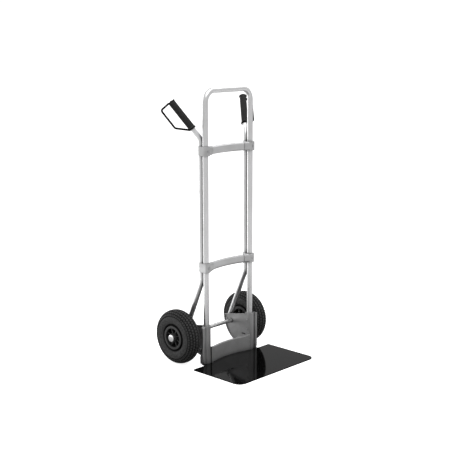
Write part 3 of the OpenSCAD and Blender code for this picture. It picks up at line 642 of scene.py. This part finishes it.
PITCHES = 56            # tread blocks round the tyre
ROWS = 3                # rows of blocks each side of the middle one
ROW_STEP = 21           # degrees of the tyre's section from row to row
BLOCK_TOP = 6.6         # half a block, in degrees of the section
BLOCK_FOOT = 8.2
TREAD_DEPTH = 4 * MM
SECTION_R = 40 * MM
SECTION_ORBIT = 90 * MM
SQUARENESS = 2.3        # 2 would be a round section
WALL_RIBS = ((85, 87), (93, 94.5), (106, 107.5))    # from and to, in degrees of the section
BLOCK_TONE = 0.72       # how pale the block tops are: wear, held below WALL_TONE as painted shade on the tread; 0 in the grooves, which is painted shade; 1 at most
WALL_TONE = 0.85


def section_point(degrees, inset):
    """(distance from the axle, distance out from the wheel's middle) on the tyre's section."""
    across, out = math.cos(math.radians(degrees)), math.sin(math.radians(degrees))
    half = SECTION_R - inset
    return (SECTION_ORBIT + half * math.copysign(abs(across) ** (2 / SQUARENESS), across),
            half * math.copysign(abs(out) ** (2 / SQUARENESS), out))


def tread_lines():
    """Lines across the tread: (degrees of the section, row number, 1 on a block or 0 beside it)."""
    lines = []
    for row in range(-ROWS, ROWS + 1):
        centre = row * ROW_STEP
        half = BLOCK_TOP / 2
        lines += [(centre - BLOCK_FOOT, row, 0), (centre - BLOCK_TOP, row, 1), (centre - half, row, 1),
                  (centre, row, 1), (centre + half, row, 1), (centre + BLOCK_TOP, row, 1),
                  (centre + BLOCK_FOOT, row, 0)]
    return lines


def tread_turns():
    """Lines round the tread: (degrees round the wheel, level on even rows, level on odd rows)."""
    stops = [(0, 0, 1), (0.11, 0, 1), (0.14, 1, 1), (0.36, 1, 1), (0.39, 1, 0),
             (0.5, 1, 0), (0.61, 1, 0), (0.64, 1, 1), (0.86, 1, 1), (0.89, 0, 1)]
    step = 360 / PITCHES
    return [((i + at) * step, even, odd) for i in range(PITCHES) for at, even, odd in stops]


def sidewall():
    """Profile over the sidewall, the bead and half the inside: (from the axle, outwards, tone)."""
    edge = ROWS * ROW_STEP + BLOCK_FOOT
    rib = 0.8 * MM
    inner = 5.5 * MM
    # Tone 0 in the shoulder groove and round the bead, and half the wall tone at the sidewall's inner
    # edge: painted shade in these recesses beside the tread and the rim.
    skin = [(edge + 2.5, TREAD_DEPTH * 0.8, 0), (edge + 6, rib, WALL_TONE)]
    for start, end in WALL_RIBS:
        skin += [(start - 0.8, rib, WALL_TONE), (start, 0, 1), (end, 0, 1), (end + 0.8, rib, WALL_TONE)]
    skin += [(112, rib, WALL_TONE), (117, rib, WALL_TONE), (121, rib, 0.5 * WALL_TONE)]
    bead = [(65.4, 32.2), (64.6, 30.0), (63.6, 27.4), (62.0, 25.8), (60.6, 25.6), (59.3, 27.0),
            (58.7, 30.0), (58.2, 32.6), (57.2, 33.4), (51.0, 33.4), (50.6, 33.0), (50.6, 19.9),
            (51.0, 19.5), (58.4, 19.5)]
    points = [(*section_point(degrees, inset), tone) for degrees, inset, tone in skin]
    points += [(r * MM, x * MM, 0) for r, x in bead]
    points += [(*section_point(a, inner), 0) for a in (144, 130, 115, 100, 85, 70, 55, 40, 25, 10)]
    return points


def tyre(name, side):
    """Block-tread tyre: a fine skin over the tread, joined to a plainer one for the rest."""
    place = wheel_place(side)
    turns = tread_turns()
    bm = bmesh.new()
    raised = bm.verts.layers.float.new("raised")

    def add_point(r, x, degrees, tone):
        a = math.radians(degrees)
        vert = bm.verts.new(place @ Vector((r * math.cos(a), r * math.sin(a), x)))
        vert[raised] = tone
        return vert

    tread = []
    for degrees, row, on_block in tread_lines():
        row_verts = []
        for turn in turns:
            # Block tops take BLOCK_TONE, paler from wear; grooves take 0, which is painted shade.
            level = on_block * (turn[1] if row % 2 == 0 else turn[2])
            row_verts.append(add_point(*section_point(degrees, TREAD_DEPTH * (1 - level)), turn[0],
                                       level * BLOCK_TONE))
        tread.append(row_verts)
    count = len(turns)
    for low, high in zip(tread, tread[1:]):
        for i in range(count):
            j = (i + 1) % count
            bm.faces.new((low[i], low[j], high[j], high[i]))

    coarse = [360 * i / (2 * PITCHES) for i in range(2 * PITCHES)]
    outer = sidewall()
    profile = outer + [(r, -x, tone) for r, x, tone in reversed(outer)]
    rows = [[add_point(r, x, a, tone) for a in coarse] for r, x, tone in profile]
    for low, high in zip(rows, rows[1:]):
        for i in range(len(low)):
            j = (i + 1) % len(low)
            bm.faces.new((low[i], low[j], high[j], high[i]))
    stitch(bm, tread[-1], rows[0])
    stitch(bm, tread[0], rows[-1])
    add_piece(f"{name}_block_tyre", bm, MATERIALS["tyres"], f"{name}_wheel", "tyres", f"{name}_tyre")


def stitch(bm, fine, coarse):
    """Joins a ring of five points for every one of a coarser ring."""
    per = len(fine) // len(coarse)
    for k, corner in enumerate(coarse):
        following = coarse[(k + 1) % len(coarse)]
        strip = [fine[(k * per + i) % len(fine)] for i in range(per + 1)]
        half = per // 2 + 1
        for i in range(half):
            bm.faces.new((corner, strip[i], strip[i + 1]))
        bm.faces.new((corner, strip[half], following))
        for i in range(half, per):
            bm.faces.new((following, strip[i], strip[i + 1]))


def hub_cap(name, side):
    """Pressed cap over the end of the axle, with a shallow dome."""
    node = f"{name}_hub_cap"
    low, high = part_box(node)
    radius = (high.y - low.y) / 2
    height = high.x - low.x
    inner_x = low.x if side > 0 else high.x
    place = place_along(Vector((inner_x, AXLE.y, AXLE.z)), Vector((side, 0, 0)))
    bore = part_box("axle")[1].z - AXLE.z + FIT
    centre = 0.3 * MM
    seat = 5.1 * MM         # depth of the bore over the axle
    rim = height - 1.2 * MM
    dome = [(r, rim + (height - rim) * math.sqrt(max(0, 1 - (r / (radius - 1.5 * MM)) ** 2)))
            for r in [(radius - 3.2 * MM) * (1 - i / 8) + centre for i in range(9)]]
    profile = [(centre, seat), (bore, seat), (bore, 0), (radius - 0.4 * MM, 0), (radius, 0.4 * MM)]
    profile += arc(radius - 2.2 * MM, rim - 1.6 * MM, 2.2 * MM, 0, 60, 6) + dome
    bm = bmesh.new()
    lathe(bm, profile, place, 64, loop=False)
    add_piece(f"{name}_domed_cap", bm, MATERIALS["hub_caps"], "frame", "hub_caps", node)


# ---- CAD nodes that keep their shape ----------------------------------------

def finish_cad_nodes():
    """Gives each CAD node that still shows the material of its slot."""
    for entry in frame["record"]["subparts"]:
        node = frame["nodes"][entry["node"]]
        if node.hide_render:
            continue
        node.data.materials.clear()
        node.data.materials.append(MATERIALS[entry["material_slot"]])


# ---- Stage, light and camera ------------------------------------------------

WORLD_LIGHT = 0.66
FLOOR_HALF = 60         # metres
FLOOR_GLOW = 0.85       # only to the eye: a white sweep with hardly a shadow
FLOOR_DARK_TO = 0.3     # what the metal sees of the floor: a painted shadow, darker under the truck
FLOOR_PALE_FROM = 1.6
SOFTBOXES = {           # place, target, size and power
    "back_softbox": ((-0.45, 1.95, 0.95), (0, 0, 0.85), (1.2, 1.9), 13),
    "low_softbox": ((-0.80, 0.62, 0.03), (-0.28, 0.15, 0.13), (0.4, 0.4), 0.6),
    "top_softbox": ((-0.6, -0.6, 3.2), (0, 0, 0.6), (2.0, 2.0), 30),
    "right_softbox": ((1.6, 0.0, 2.9), (0, 0, 1.0), (1.6, 1.6), 14),
}
CAMERA_PLACE = (-3.3654, -3.1754, 1.5783)
CAMERA_DOWN = 11.854    # degrees below level
CAMERA_HEADING = -46.666
CAMERA_LENS = 76.87     # mm


def floor():
    half = FLOOR_HALF
    corners = ((-half, -half), (half, -half), (half, half), (-half, half))
    bm = bmesh.new()
    bm.faces.new([bm.verts.new((x, y, 0)) for x, y in corners])
    mesh = bpy.data.meshes.new("floor")
    bm.to_mesh(mesh)
    bm.free()
    s = Surface("floor_paper", Roughness=0.9)
    pale = s.blend(s.noise(3), grey(0.86), grey(0.88))
    away = s.add("ShaderNodeVectorMath", operation="LENGTH")
    s.feed(away.inputs[0], s.place)
    # Painted shadow: rays other than the camera's see the floor fall to 0.18 grey under the truck.
    floor_with_painted_shadow = s.blend(s.fit(away.outputs["Value"], FLOOR_DARK_TO, FLOOR_PALE_FROM), grey(0.18), pale)
    s.shader.inputs["Emission Color"].default_value = (1, 1, 1, 1)
    seen = s.add("ShaderNodeLightPath").outputs["Is Camera Ray"]
    s.colour(s.blend(seen, floor_with_painted_shadow, pale))
    s.feed(s.shader.inputs["Emission Strength"], s.maths("MULTIPLY", seen, FLOOR_GLOW))
    mesh.materials.append(s.material)
    obj = bpy.data.objects.new("floor", mesh)
    bpy.context.scene.collection.objects.link(obj)


def world():
    """White surroundings, less bright where the metal sees them than the backdrop itself."""
    w = bpy.data.worlds.new("studio")
    bpy.context.scene.world = w
    w.use_nodes = True
    tree = w.node_tree
    seen = tree.nodes["Background"]
    seen.inputs["Color"].default_value = (1, 1, 1, 1)
    seen.inputs["Strength"].default_value = 1.05
    lit = tree.nodes.new("ShaderNodeBackground")
    lit.inputs["Color"].default_value = (1, 1, 1, 1)
    lit.inputs["Strength"].default_value = WORLD_LIGHT
    path = tree.nodes.new("ShaderNodeLightPath")
    mix = tree.nodes.new("ShaderNodeMixShader")
    tree.links.new(path.outputs["Is Camera Ray"], mix.inputs["Fac"])
    tree.links.new(lit.outputs[0], mix.inputs[1])
    tree.links.new(seen.outputs[0], mix.inputs[2])
    tree.links.new(mix.outputs[0], tree.nodes["World Output"].inputs["Surface"])


def softbox(name, place, target, size, power):
    data = bpy.data.lights.new(name, "AREA")
    data.shape = "RECTANGLE"
    data.size, data.size_y = size
    data.energy = power
    lamp = bpy.data.objects.new(name, data)
    lamp.location = place
    lamp.rotation_euler = (Vector(target) - Vector(place)).to_track_quat("-Z", "Y").to_euler()
    lamp.visible_camera = False
    bpy.context.scene.collection.objects.link(lamp)


def camera():
    data = bpy.data.cameras.new("camera")
    data.sensor_width = 36
    data.lens = CAMERA_LENS
    cam = bpy.data.objects.new("camera", data)
    cam.location = CAMERA_PLACE
    cam.rotation_euler = (math.radians(90 - CAMERA_DOWN), 0, math.radians(CAMERA_HEADING))
    bpy.context.scene.collection.objects.link(cam)
    bpy.context.scene.camera = cam


camera()
front_frame_tube()
for bar in ("upper_crossbar", "lower_crossbar"):
    crossbar(bar)
for side_name, side_sign in SIDES.items():
    handle_tube(side_name, side_sign)
    grip(side_name, side_sign)
    hand_guard(side_name, side_sign)
    tyre(side_name, side_sign)
    hub_cap(side_name, side_sign)
finish_cad_nodes()
floor()
world()
for box_name, settings in SOFTBOXES.items():
    softbox(box_name, *settings)
bpy.context.scene.view_settings.view_transform = "Standard"
